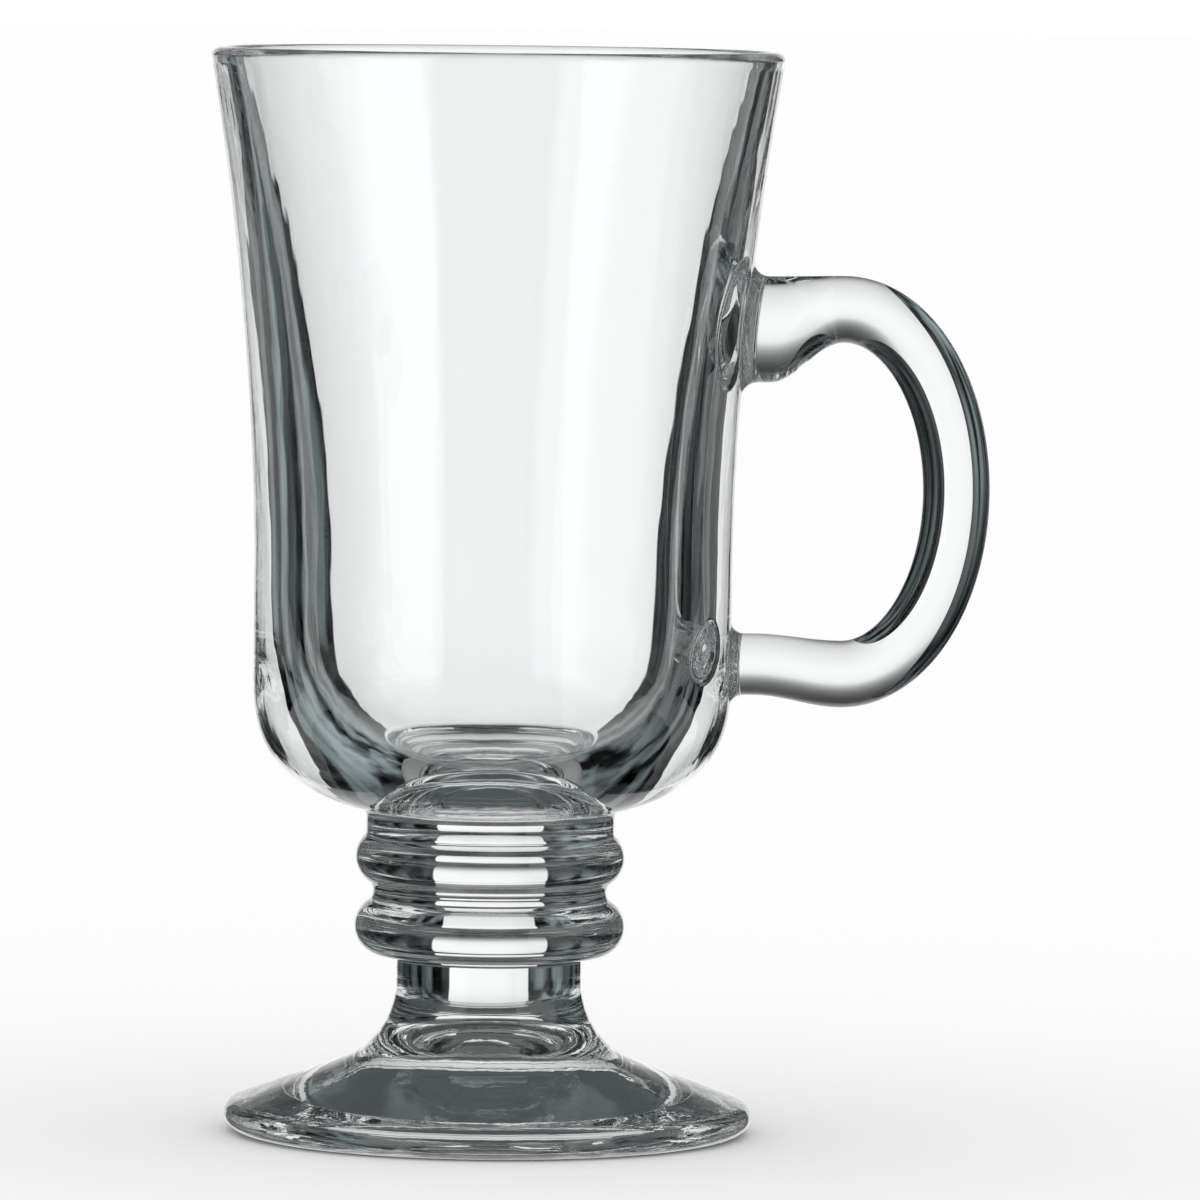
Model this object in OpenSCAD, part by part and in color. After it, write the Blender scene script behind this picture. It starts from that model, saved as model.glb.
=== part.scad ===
// Irish coffee mug in clear pressed glass: a flared bowl on two round knops, a short solid stem and
// a foot with a domed underside, with an ear-shaped handle rod sealed to the wall at two flared pads.
// Millimetres. The origin is the centre of the foot's underside, +Z is up, the handle points to +X.

/* [Foot] */
// Diameter of the foot across its rounded edge
foot_d = 71.2; // [64:0.1:80]
// Radius of the rounded edge
foot_edge_r = 2.3; // [1.8:0.1:2.8]
// Angle of the foot's top below the horizontal
foot_slope = 19.9; // [16:0.1:23]
// Radius of the concave sweep from the foot up into the stem
foot_sweep_r = 11.7; // [9:0.1:14]
// How far the rounded edge tucks in under the foot
foot_edge_tuck = 3.4; // [2.4:0.1:4.4]
// Width of the flat ring that the foot stands on
rest_ring_w = 6.6; // [5:0.1:8]
// Thickness of the glass left between the middle of the dome and the seam of foot and stem
dome_crown = 1.5; // [1:0.1:6]

/* [Stem] */
// Diameter of the stem at its waist
stem_d = 24.9; // [21:0.1:27]
// Length of the straight part of the stem
stem_straight_h = 2.6; // [1.5:0.1:8]
// Radius of the fillet between the stem and the lower ring
stem_fillet_r = 0.9; // [0.6:0.1:1.6]

/* [Rings] */
// Diameter of the lower ring
lower_ring_d = 36.4; // [34:0.1:39]
// Diameter of the upper ring
upper_ring_d = 36.2; // [34:0.1:39]
// Radius of the rings' round edges
ring_round_r = 3.95; // [3.7:0.05:4.2]
// Height between the middles of the two rings
ring_pitch = 9.3; // [8.8:0.1:9.9]
// Radius of the hollow between the rings
ring_groove_r = 1.7; // [1.5:0.1:2.2]

/* [Bowl] */
// Diameter of the short neck under the bowl
neck_d = 33.4; // [32:0.1:35]
// Height of the neck
neck_h = 1.2; // [0.8:0.1:3]
// Radius of the fillet between the neck and the upper ring
neck_fillet_r = 1; // [0.7:0.1:1.6]
// Diameter of the bowl at its straight belly
belly_d = 64.3; // [60:0.1:69]
// Height of the bowl's rounded base, from the neck to the belly
base_h = 19.6; // [17:0.1:24]
// Height of the straight belly
belly_h = 13.4; // [10:0.1:20]
// Height of the flared wall above the belly
flare_h = 70.5; // [60:0.1:80]
// Diameter across the rim
rim_d = 77; // [72:0.1:84]
// Thickness of the glass at the rim
rim_wall = 3; // [2.4:0.1:3.4]
// Height of the rim's rounded top
rim_round_h = 1.2; // [0.8:0.1:1.6]
// Thickness of the glass at the belly
belly_wall = 6.7; // [5.5:0.1:7.5]
// Thickness of the glass between the neck and the floor of the bowl
floor_wall = 6.2; // [5:0.1:9]
// How much narrower the inside is at the floor than at the belly, at each side
floor_taper = 3; // [1:0.1:4]

/* [Handle] */
// Thickness of the handle rod, seen from the side
rod_h = 9; // [7:0.1:10]
// Width of the handle rod, seen from the end
rod_w = 9.2; // [8:0.1:11]
// Height of the lower arm's middle above the bowl's seam
lower_arm_z = 21.8; // [19:0.1:25]
// Height between the middles of the two arms
arm_pitch = 49.1; // [44:0.1:54]
// Length of the arms, from the belly to where the handle bends
arm_len = 14.7; // [12:0.1:18]
// Depth of the bend, from the ends of the arms to the rod's outermost middle
bend_depth = 15.3; // [13:0.1:20]
// Height of the handle's flared upper end
upper_root_h = 14.3; // [11:0.1:16]
// Width of the handle's flared upper end
upper_root_w = 11.6; // [10:0.1:13]
// Drop of the upper arm from the bend to the wall
upper_root_drop = 2.8; // [1:0.1:4]
// Height of the handle's lower end
lower_root_h = 8.3; // [7.5:0.1:10]
// Width of the handle's lower end
lower_root_w = 9.8; // [8.5:0.1:11]
// Rise of the lower arm from the bend to the wall
lower_root_rise = 1.2; // [0.5:0.1:2]
// Length of each seal pad, from the wall to the end of the handle
pad_len = 3; // [2.6:0.1:4]
// Radius of the upper pad's fillet against the wall
upper_pad_fillet_r = 2.2; // [1.4:0.1:2.5]
// Radius of the lower pad's fillet against the wall
lower_pad_fillet_r = 1.7; // [1.2:0.1:2.5]

/* [Hidden] */

// Clear soda glass, with the faint cool grey that its thick parts show
GLASS = [0.82, 0.88, 0.89, 0.5];

// Counts of the steps that draw the curves
around = 144;
arc_steps = 10;
rim_steps = 16;
sweep_steps = 14;
base_steps = 18;
flare_steps = 16;
dome_steps = 12;
rod_sides = 32;
arm_steps = 12;
bend_steps = 36;
fillet_steps = 5;

// How sharply the wall flares towards the rim, and how full the rounded base is
flare_power = 1.85;
base_drop_power = 2.75;
base_side_power = 2.86;
// How quickly the wall thins towards the rim, and how full the rounded floor is
wall_power = 1.25;
floor_drop_power = 6;
floor_side_power = 1.6;

// How far the base curve's lowest point would lie above the neck, as a share of the base's height
neck_tuck_share = 0.03;
// Reach of the fillet between the neck and the rounded base, as a share of the neck's height
base_fillet_share = 0.95;

// Sketch helpers

// Points of an arc about a centre
function arc(centre, r, from, to, steps) =
    [for (i = [0:steps]) let (a = from + (to - from) * i / steps) centre + r * [cos(a), sin(a)]];

// Points of a curve from one point to another that leaves and arrives towards a corner
function corner_curve(start, corner, end, steps) =
    [for (i = [0:steps]) let (t = i / steps)
        start * (1 - t) * (1 - t) + corner * 2 * t * (1 - t) + end * t * t];

// Direction of one point seen from another, in degrees
function heading(from, to) = atan2(to[1] - from[1], to[0] - from[0]);

// A smooth step from 0 to 1
function ease(t) = (1 - cos(180 * t)) / 2;

function reversed(list) = [for (i = [len(list) - 1:-1:0]) list[i]];

// A solid of revolution about the mug's axis
module turned(outline) {
    color(GLASS) rotate_extrude($fn = around) polygon(outline);
}

// A closed solid through a row of rings, each with the same number of points
module lofted(rings) {
    sides = len(rings[0]);
    last = len(rings) - 1;
    polyhedron(
        points = [for (ring = rings) each ring],
        faces = concat(
            [[for (i = [0:sides - 1]) i]],
            [for (k = [0:last - 1], i = [0:sides - 1]) let (j = (i + 1) % sides)
                [k * sides + i, (k + 1) * sides + i, (k + 1) * sides + j]],
            [for (k = [0:last - 1], i = [0:sides - 1]) let (j = (i + 1) % sides)
                [k * sides + i, (k + 1) * sides + j, k * sides + j]],
            [[for (i = [sides - 1:-1:0]) last * sides + i]]
        ),
        convexity = 4
    );
}

// Places of the foot and the stem, as radius and height

foot_r = foot_d / 2;
foot_edge = [foot_r - foot_edge_r, foot_edge_r];
dome_r = foot_r - foot_edge_tuck - rest_ring_w;
// Where the sloped top leaves the rounded edge
foot_shoulder = foot_edge + foot_edge_r * [sin(foot_slope), cos(foot_slope)];
stem_r = stem_d / 2;
// Where the sloped top and the stem would meet without the sweep
foot_corner_z = foot_shoulder[1] + (foot_shoulder[0] - stem_r) * tan(foot_slope);
sweep_top_z = foot_corner_z + foot_sweep_r * tan((90 - foot_slope) / 2);
foot_sweep = [stem_r + foot_sweep_r, sweep_top_z];
// The seam of foot and stem lies on the sweep, this far below the sweep's top
foot_seam_angle = 23;
foot_seam = foot_sweep - foot_sweep_r * [cos(foot_seam_angle), sin(foot_seam_angle)];
dome_h = foot_seam[1] - dome_crown;

// Places of the rings: the middles of their round edges and of the fillets between them

stem_top_z = sweep_top_z + stem_straight_h;
stem_fillet = [stem_r + stem_fillet_r, stem_top_z];
lower_round_x = lower_ring_d / 2 - ring_round_r;
lower_round = [lower_round_x,
    stem_top_z + sqrt(pow(ring_round_r + stem_fillet_r, 2) - pow(stem_fillet[0] - lower_round_x, 2))];
upper_round = [upper_ring_d / 2 - ring_round_r, lower_round[1] + ring_pitch];
// The hollow's circle touches both round edges, so its middle is as far from one as from the other
ring_middle = (lower_round + upper_round) / 2;
ring_lean = heading(lower_round, upper_round);
ring_half_gap = norm(upper_round - lower_round) / 2;
groove = ring_middle + sqrt(pow(ring_round_r + ring_groove_r, 2) - pow(ring_half_gap, 2))
    * [sin(ring_lean), -cos(ring_lean)];
groove_bottom = groove - [ring_groove_r, 0];
neck_r = neck_d / 2;
neck_fillet_x = neck_r + neck_fillet_r;
neck_fillet = [neck_fillet_x,
    upper_round[1] + sqrt(pow(ring_round_r + neck_fillet_r, 2) - pow(neck_fillet_x - upper_round[0], 2))];

// Places of the bowl

bowl_z = neck_fillet[1];
belly_r = belly_d / 2;
rim_r = rim_d / 2;
base_z = bowl_z + neck_h + base_h * neck_tuck_share;
belly_z = base_z + base_h;
flare_z = belly_z + belly_h;
rim_z = flare_z + flare_h;
floor_z = bowl_z + floor_wall;
cavity_r = belly_r - belly_wall;

// Drop of a rounded form below its widest height, as a share of its depth, where its radius is the
// given share of the widest
function round_drop(radius_share, drop_power, side_power) =
    pow(1 - pow(radius_share, side_power), 1 / drop_power);

// Radius of a rounded form at a drop, both as shares
function round_radius(drop_share, drop_power, side_power) =
    pow(max(0, 1 - pow(drop_share, drop_power)), 1 / side_power);

// Height where the wall ends and the rim's round top begins
rim_edge_z = rim_z - rim_round_h;

// Share of the way up the flared wall
function flare_share(z) = max(0, (z - flare_z) / (rim_edge_z - flare_z));

// Outer radius of the bowl at a height
function bowl_r(z) = z >= belly_z
    ? belly_r + (rim_r - belly_r) * pow(flare_share(z), flare_power)
    : belly_r * round_radius((belly_z - z) / base_h, base_drop_power, base_side_power);

// Thickness of the wall at a height at or above the flare's foot
function wall(z) = belly_wall - (belly_wall - rim_wall) * pow(flare_share(z), wall_power);

// The rounded base meets the neck in a small fillet
base_fillet = neck_h * base_fillet_share;
neck_corner_z = belly_z - base_h * round_drop(neck_r / belly_r, base_drop_power, base_side_power);
base_start_r = neck_r + base_fillet;
base_start_share = round_drop(base_start_r / belly_r, base_drop_power, base_side_power);
base_start = [base_start_r, belly_z - base_h * base_start_share];

// Outline of the bowl's outside, from the seam up to the rim's round top
bowl_outside = concat(
    [[neck_r, bowl_z]],
    corner_curve([neck_r, neck_corner_z - base_fillet], [neck_r, neck_corner_z], base_start, arc_steps),
    [for (i = [1:base_steps]) let (
            a = asin(pow(base_start_share, base_drop_power / 2)) * (1 - i / base_steps),
            drop = pow(sin(a), 2 / base_drop_power))
        [belly_r * pow(cos(a), 2 / base_side_power), belly_z - base_h * drop]],
    [for (i = [0:flare_steps]) let (z = flare_z + (rim_edge_z - flare_z) * i / flare_steps)
        [bowl_r(z), z]]
);

// Outline of the rim's round top, half an oval over the edge of the wall
rim_edge = bowl_outside[len(bowl_outside) - 1];
rim_top = [for (p = arc([0, 0], 1, 0, 180, rim_steps))
    rim_edge + [rim_wall / 2 * (p[0] - 1), rim_round_h * p[1]]];

// Outline of the cavity, from under the rim down to the middle of the floor
cavity = concat(
    [for (i = [flare_steps - 1:-1:0]) let (z = flare_z + (rim_edge_z - flare_z) * i / flare_steps)
        [bowl_r(z) - wall(z), z]],
    [for (i = [1:base_steps]) let (
            a = 90 * pow(i / base_steps, 2),
            drop = pow(sin(a), 2 / floor_drop_power),
            widest = cavity_r - floor_taper * drop * drop)
        [widest * pow(max(0, cos(a)), 2 / floor_side_power), flare_z - (flare_z - floor_z) * drop]]
);

// Places of the handle, with X outwards and Z up

lower_arm_height = bowl_z + lower_arm_z;
bend_x = belly_r + arm_len;
bend_middle = [bend_x, lower_arm_height + arm_pitch / 2];
upper_root_z = lower_arm_height + arm_pitch - upper_root_drop;
lower_root_z = lower_arm_height + lower_root_rise;
upper_face_x = bowl_r(upper_root_z) + pad_len;
lower_face_x = bowl_r(lower_root_z) + pad_len;

// One ring of the handle about a point of its middle line. The ring is square to a heading in the
// XZ plane, and half_h and half_w are its half sizes in that plane and across it.
function rod_ring(centre, turn, half_h, half_w) =
    [for (i = [0:rod_sides - 1]) let (a = 360 * i / rod_sides)
        [centre[0] - half_h * sin(a) * sin(turn), half_w * cos(a), centre[1] + half_h * sin(a) * cos(turn)]];

// The upright rings of an arm, from the pad's face to the bend
function arm_rings(face_x, root_z, arm_z, root_h, root_w) =
    [for (i = [0:arm_steps]) let (t = i / arm_steps)
        rod_ring([face_x + (bend_x - face_x) * t, root_z + (arm_z - root_z) * ease(t)], 0,
            (root_h + (rod_h - root_h) * ease(t)) / 2, (root_w + (rod_w - root_w) * ease(t)) / 2)];

// The rings of the bend, half an ellipse from the upper arm round to the lower one
function bend_rings() =
    [for (i = [1:bend_steps - 1]) let (
            a = 90 - 180 * i / bend_steps,
            turn = atan2(-arm_pitch / 2 * cos(a), bend_depth * sin(a)))
        rod_ring(bend_middle + [bend_depth * cos(a), arm_pitch / 2 * sin(a)], turn, rod_h / 2, rod_w / 2)];

// A lower arm's ring runs the other way, so its heading turns by half a turn and its points follow
function turned_back(ring) = [for (i = [0:rod_sides - 1]) ring[(rod_sides - i) % rod_sides]];

handle_rings = concat(
    arm_rings(upper_face_x, upper_root_z, lower_arm_height + arm_pitch, upper_root_h, upper_root_w),
    bend_rings(),
    [for (ring = reversed(arm_rings(lower_face_x, lower_root_z, lower_arm_height, lower_root_h,
        lower_root_w))) turned_back(ring)]
);

// The fillets stop a little short of lying flat on the wall, and end in a low step there
fillet_turn = 72;
pad_edge = 0.18;

// Distance from the axis plane to the bowl's outside, at a place beside and above
function wall_x(y, z) = sqrt(pow(bowl_r(z), 2) - y * y);

// One ring of a pad: grown by the fillet, and a share of the way from the wall to the pad's face
function pad_ring(face_x, root_z, root_h, root_w, grow, face_share) =
    [for (i = [0:rod_sides - 1]) let (
            a = 360 * i / rod_sides,
            y = (root_w / 2 + grow) * cos(a),
            z = root_z + (root_h / 2 + grow) * sin(a),
            x = wall_x(y, z))
        [x + (face_x - x) * face_share, y, z]];

// A pad before the bowl is cut from it. It reaches into the wall by the thickness of the rim.
module pad_blank(face_x, root_z, root_h, root_w, fillet_r) {
    reach = pad_edge + fillet_r * sin(fillet_turn);
    widest = fillet_r * (1 - cos(fillet_turn));
    inner_x = wall_x(root_w / 2 + widest, root_z - root_h / 2 - widest) - rim_wall;
    inner_ring = [for (p = pad_ring(face_x, root_z, root_h, root_w, widest, 0)) [inner_x, p[1], p[2]]];
    fillet_rings = [for (i = [fillet_steps:-1:0]) let (a = fillet_turn * i / fillet_steps)
        pad_ring(face_x, root_z, root_h, root_w, fillet_r * (1 - cos(a)),
            (reach - fillet_r * sin(a)) / pad_len)];
    face_ring = pad_ring(face_x, root_z, root_h, root_w, 0, 1);
    lofted(concat([inner_ring], fillet_rings, [face_ring]));
}

// The bowl's outer form without its cavity
module bowl_form() {
    rotate_extrude($fn = around) polygon(concat([[0, bowl_z]], bowl_outside, [[0, rim_edge[1]]]));
}

// Sub-parts

module bowl() {
    turned(concat([[0, bowl_z]], bowl_outside, rim_top, cavity));
}

module upper_stem_ring() {
    turned(concat(
        [[0, groove[1]]],
        arc(groove, ring_groove_r, 180, heading(groove, upper_round), arc_steps / 2),
        arc(upper_round, ring_round_r, heading(upper_round, groove), heading(upper_round, neck_fillet),
            sweep_steps),
        arc(neck_fillet, neck_fillet_r, 360 + heading(neck_fillet, upper_round), 180, arc_steps / 2),
        [[0, neck_fillet[1]]]
    ));
}

module lower_stem_ring() {
    turned(concat(
        [[0, stem_top_z]],
        arc(stem_fillet, stem_fillet_r, 180, heading(stem_fillet, lower_round), arc_steps / 2),
        arc(lower_round, ring_round_r, heading(lower_round, stem_fillet), heading(lower_round, groove),
            sweep_steps),
        arc(groove, ring_groove_r, 360 + heading(groove, lower_round), 180, arc_steps / 2),
        [[0, groove[1]]]
    ));
}

module stem() {
    turned(concat(
        [[0, foot_seam[1]]],
        arc(foot_sweep, foot_sweep_r, 180 + foot_seam_angle, 180, arc_steps),
        [[stem_r, stem_top_z], [0, stem_top_z]]
    ));
}

module foot() {
    turned(concat(
        [for (i = [0:dome_steps]) let (share = i / dome_steps)
            [dome_r * share, dome_h * (1 - share * share)]],
        [for (i = [0:arc_steps - 1]) let (a = 90 * i / arc_steps)
            [foot_r - foot_edge_tuck * (1 - sin(a)), foot_edge_r * (1 - cos(a))]],
        arc(foot_edge, foot_edge_r, 0, 90 - foot_slope, arc_steps),
        arc(foot_sweep, foot_sweep_r, 270 - foot_slope, 180 + foot_seam_angle, sweep_steps),
        [[0, foot_seam[1]]]
    ));
}

module handle() {
    color(GLASS) lofted(handle_rings);
}

module upper_handle_pad() {
    color(GLASS) difference() {
        pad_blank(upper_face_x, upper_root_z, upper_root_h, upper_root_w, upper_pad_fillet_r);
        bowl_form();
    }
}

module lower_handle_pad() {
    color(GLASS) difference() {
        pad_blank(lower_face_x, lower_root_z, lower_root_h, lower_root_w, lower_pad_fillet_r);
        bowl_form();
    }
}

bowl();
upper_stem_ring();
lower_stem_ring();
stem();
foot();
handle();
upper_handle_pad();
lower_handle_pad();
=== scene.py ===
# %% [markdown]
# # A footed glass mug for hot drinks
# The mug is clear pressed glass: a flared bowl on two round rings, a short solid stem, a domed foot
# and a handle sealed to the wall at two flared pads. Clear glass has no colour of its own to show, so
# its look comes from three things: surfaces as smooth as the real ones, walls of the true thickness,
# and something pale and something dark around it for the glass to bend into view.
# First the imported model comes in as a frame. Everything below is built where its nodes are.

import math

import bmesh
import bpy
from mathutils import Matrix, Vector
from mathutils.kdtree import KDTree


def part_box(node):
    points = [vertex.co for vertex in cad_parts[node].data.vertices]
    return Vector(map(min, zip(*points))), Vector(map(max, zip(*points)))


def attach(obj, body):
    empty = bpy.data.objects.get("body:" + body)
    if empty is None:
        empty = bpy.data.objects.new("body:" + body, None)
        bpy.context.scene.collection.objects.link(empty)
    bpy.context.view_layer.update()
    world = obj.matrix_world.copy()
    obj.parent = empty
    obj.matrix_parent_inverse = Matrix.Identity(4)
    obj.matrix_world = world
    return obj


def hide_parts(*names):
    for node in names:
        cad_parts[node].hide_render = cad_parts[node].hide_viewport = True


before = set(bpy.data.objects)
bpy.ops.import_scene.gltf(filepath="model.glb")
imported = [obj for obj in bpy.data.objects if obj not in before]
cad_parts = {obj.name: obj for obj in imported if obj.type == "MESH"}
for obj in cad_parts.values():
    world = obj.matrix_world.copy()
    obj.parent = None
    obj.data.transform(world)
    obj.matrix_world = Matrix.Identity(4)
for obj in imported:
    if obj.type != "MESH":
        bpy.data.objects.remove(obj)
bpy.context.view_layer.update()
MM = 0.001
print("frame nodes:", sorted(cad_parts))


def bottom_of(node):
    """Lowest point of a node, in millimetres."""
    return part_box(node)[0].z / MM


def top_of(node):
    """Highest point of a node, in millimetres."""
    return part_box(node)[1].z / MM


def reach_of(node):
    """How far a node reaches along +X, in millimetres."""
    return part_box(node)[1].x / MM


# %% [markdown]
# ## Sizes
# The frame says how wide and how high each piece is, and these numbers say how its outline curves in
# between. Lengths are real sizes in millimetres and angles are in degrees. The meshes are scaled to
# metres at the end. Powers above 2 make a curve fuller than an ellipse, which is how the bowl rounds
# into its base.

# %% Sizes of the foot, the stem and the rings
foot_r = reach_of("foot")
foot_edge_r = 2.3
foot_slope = 19.9
foot_sweep_r = 11.7
foot_edge_tuck = 3.4
rest_ring_w = 6.6
dome_crown = 1.5
dome_h = top_of("foot") - dome_crown
foot_seam_angle = 23
stem_r = 12.45
stem_top_z = top_of("stem")
stem_fillet_r = 0.9
ring_round_r = 3.95
ring_groove_r = 1.7
lower_ring_r = reach_of("lower_stem_ring")
upper_ring_r = reach_of("upper_stem_ring")
ring_pitch = 9.3
neck_r = 16.7
neck_h = 1.2
neck_fillet_r = 1.0
print(f"foot radius {foot_r:.2f} mm, rings {lower_ring_r:.2f} and {upper_ring_r:.2f} mm")

# %% Sizes of the bowl
bowl_z = bottom_of("bowl")
rim_z = top_of("bowl")
rim_r = reach_of("bowl")
belly_r = 32.15
base_h = 19.6
belly_h = 13.4
rim_wall = 3.0
belly_wall = 6.7
floor_wall = 6.2
floor_taper = 3.0
flare_power = 1.85
base_drop_power = 2.75
base_side_power = 2.86
wall_power = 1.25
floor_drop_power = 6
floor_side_power = 1.6
neck_tuck_share = 0.03
base_fillet_share = 0.95

rim_round_h = 1.2
rim_edge_z = rim_z - rim_round_h
belly_z = bowl_z + neck_h + base_h * (1 + neck_tuck_share)
flare_z = belly_z + belly_h
floor_z = bowl_z + floor_wall
cavity_r = belly_r - belly_wall
print(f"bowl from {bowl_z:.2f} to {rim_z:.2f} mm, belly at {belly_z:.2f}, floor at {floor_z:.2f} mm")

# %% Sizes of the handle
rod_h = 9.0
rod_w = 9.2
lower_arm_z = 21.8
lower_arm_height = bowl_z + lower_arm_z
arm_pitch = 49.1
arm_len = 14.7
bend_x = belly_r + arm_len
bend_depth = 15.3
upper_root_drop = 2.8
upper_root_z = lower_arm_height + arm_pitch - upper_root_drop
upper_root_h = 14.3
upper_root_w = 11.6
upper_pad_fillet_r = 2.2
lower_root_rise = 1.2
lower_root_z = lower_arm_height + lower_root_rise
lower_root_h = 8.3
lower_root_w = 9.8
lower_pad_fillet_r = 1.7
upper_face_x = reach_of("upper_handle_pad")
lower_face_x = reach_of("lower_handle_pad")
print(f"handle faces the pads at x {upper_face_x:.2f} and {lower_face_x:.2f} mm")

# %% [markdown]
# ## Outlines
# A lathe needs only the outline of each turned piece, as radius and height. The outlines are arcs,
# straight lines and a few power curves, so each is a short formula instead of a traced list of points.
# Glass shows every flat between two points, so the curves get many steps. At both ends of a curve one
# step is much shorter than the others: smooth shading then takes its direction there from the curve
# itself, and the light runs on unbroken where one piece meets the next.

# %% Curve helpers
END_SHARE = 0.05


def evenly(first, last, steps):
    """Numbers from the first to the last in even steps."""
    return [first + (last - first) * i / steps for i in range(steps + 1)]


def stations(steps):
    """Shares from 0 to 1 in even steps, with a short step at both ends."""
    return [0.0, END_SHARE / steps, *evenly(0, 1, steps)[1:-1], 1 - END_SHARE / steps, 1.0]


def on_circle(centre, radius, angle):
    """The point of a circle at an angle in degrees."""
    turn = math.radians(angle)
    return centre[0] + radius * math.cos(turn), centre[1] + radius * math.sin(turn)


def arc(centre, radius, start, end, steps):
    """Points of a circle between two angles in degrees."""
    return [on_circle(centre, radius, start + (end - start) * t) for t in stations(steps)]


def straight(start, end, steps):
    """Points of a straight line."""
    return [tuple(s + (e - s) * t for s, e in zip(start, end)) for t in stations(steps)]


def corner_curve(start, corner, end, steps):
    """Points of a curve that leaves and arrives towards a corner."""
    points = []
    for t in stations(steps):
        pulls = (1 - t) ** 2, 2 * t * (1 - t), t ** 2
        points.append(tuple(sum(pull * c for pull, c in zip(pulls, place))
                            for place in zip(start, corner, end)))
    return points


def heading(start, end):
    """Direction of one point seen from another, in degrees."""
    return math.degrees(math.atan2(end[1] - start[1], end[0] - start[0]))


print("shares of a curve in 4 steps:", stations(4))

# %% Where the foot, the stem and the rings touch
foot_edge = (foot_r - foot_edge_r, foot_edge_r)
dome_r = foot_r - foot_edge_tuck - rest_ring_w
slope = math.radians(foot_slope)
foot_shoulder = on_circle(foot_edge, foot_edge_r, 90 - foot_slope)
foot_corner_z = foot_shoulder[1] + (foot_shoulder[0] - stem_r) * math.tan(slope)
sweep_top_z = foot_corner_z + foot_sweep_r * math.tan((math.pi / 2 - slope) / 2)
foot_sweep = (stem_r + foot_sweep_r, sweep_top_z)
foot_seam = on_circle(foot_sweep, foot_sweep_r, 180 + foot_seam_angle)
stem_fillet = (stem_r + stem_fillet_r, stem_top_z)


def touching_z(middle, distance, x):
    """Height of the middle of a circle on another one, from the distance of both middles and its x."""
    return middle[1] + math.sqrt(distance ** 2 - (middle[0] - x) ** 2)


lower_round_x = lower_ring_r - ring_round_r
lower_round = (lower_round_x, touching_z(stem_fillet, ring_round_r + stem_fillet_r, lower_round_x))
upper_round = (upper_ring_r - ring_round_r, lower_round[1] + ring_pitch)
ring_lean = math.radians(heading(lower_round, upper_round))
half_gap = math.dist(lower_round, upper_round) / 2
groove_reach = math.sqrt((ring_round_r + ring_groove_r) ** 2 - half_gap ** 2)
groove = ((lower_round[0] + upper_round[0]) / 2 + groove_reach * math.sin(ring_lean),
          (lower_round[1] + upper_round[1]) / 2 - groove_reach * math.cos(ring_lean))
neck_fillet = (neck_r + neck_fillet_r, bowl_z)
print(f"sweep top {sweep_top_z:.2f}, groove {groove[1]:.2f}, frame says {top_of('lower_stem_ring'):.2f} mm")


# %% The bowl's wall
def round_drop(radius_share, drop_power, side_power):
    """Drop of a rounded form, as a share of its depth, where it has a share of its widest radius."""
    return (1 - radius_share ** side_power) ** (1 / drop_power)


def round_radius(drop_share, drop_power, side_power):
    """Radius of a rounded form at a drop, both as shares."""
    return max(0.0, 1 - drop_share ** drop_power) ** (1 / side_power)


def flare_share(z):
    """Share of the way up the flared wall."""
    return max(0.0, (z - flare_z) / (rim_edge_z - flare_z))


def bowl_r(z):
    """Outer radius of the bowl at a height."""
    if z >= belly_z:
        return belly_r + (rim_r - belly_r) * flare_share(z) ** flare_power
    return belly_r * round_radius((belly_z - z) / base_h, base_drop_power, base_side_power)


def wall(z):
    """Thickness of the wall, from the belly up."""
    return belly_wall - (belly_wall - rim_wall) * flare_share(z) ** wall_power


print(f"outer radius at the belly {bowl_r(belly_z):.2f} mm and at the rim {bowl_r(rim_edge_z):.2f} mm")

# %% [markdown]
# ## Materials
# All of the mug is one glass, but each part of it left the mould in its own way. The bowl's inside was
# chilled by the plunger and keeps faint vertical ripples. The stem and the rings are thick and calm. The
# foot has soft waves and fine streaks, and the handle has faint waves along the rod. These are
# differences of height of a few hundredths of a millimetre, too small to model, so they are bumps in
# the material. Where two pieces meet, the real glass runs through without a surface. Those hidden faces
# get a fully clear material, so that light passes straight on.


# %% Material helpers
def node_of(tree, kind, inputs=None, **settings):
    """A new node with its settings and the values or links of its inputs."""
    node = tree.nodes.new(kind)
    for name, value in settings.items():
        setattr(node, name, value)
    for name, value in (inputs or {}).items():
        socket = node.inputs[name]
        if isinstance(value, bpy.types.NodeSocket):
            tree.links.new(value, socket)
        else:
            socket.default_value = value
    return node


def new_material(name):
    """An empty node material with its output."""
    material = bpy.data.materials.new(name)
    material.use_nodes = True
    material.node_tree.nodes.clear()
    return material, material.node_tree, node_of(material.node_tree, "ShaderNodeOutputMaterial")


def object_place(tree):
    """A place on the piece, in metres."""
    return node_of(tree, "ShaderNodeTexCoord").outputs["Object"]


def noise(tree, place, waves, detail, distortion=0.0):
    """Noise with so many waves to the metre along each axis of a place."""
    stretched = node_of(tree, "ShaderNodeMapping", {"Vector": place, "Scale": waves}).outputs["Vector"]
    return node_of(tree, "ShaderNodeTexNoise", {
        "Vector": stretched, "Scale": 1.0, "Detail": detail, "Distortion": distortion}).outputs["Fac"]


# %% Clear glass with ripples
GLASS_TINT = (0.985, 0.996, 0.995, 1)
GLASS_IOR = 1.52


def rippled(tree, ripples):
    """The surface direction that layers of ripples give. Their depth is in millimetres."""
    place = object_place(tree)
    surface = None
    for layer in ripples:
        height = noise(tree, place, layer["waves"], layer["detail"], layer.get("distortion", 0.0))
        inputs = {"Height": height, "Distance": layer["depth"] * MM, "Strength": 1.0}
        if surface is not None:
            inputs["Normal"] = surface
        surface = node_of(tree, "ShaderNodeBump", inputs).outputs["Normal"]
    return surface


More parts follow.
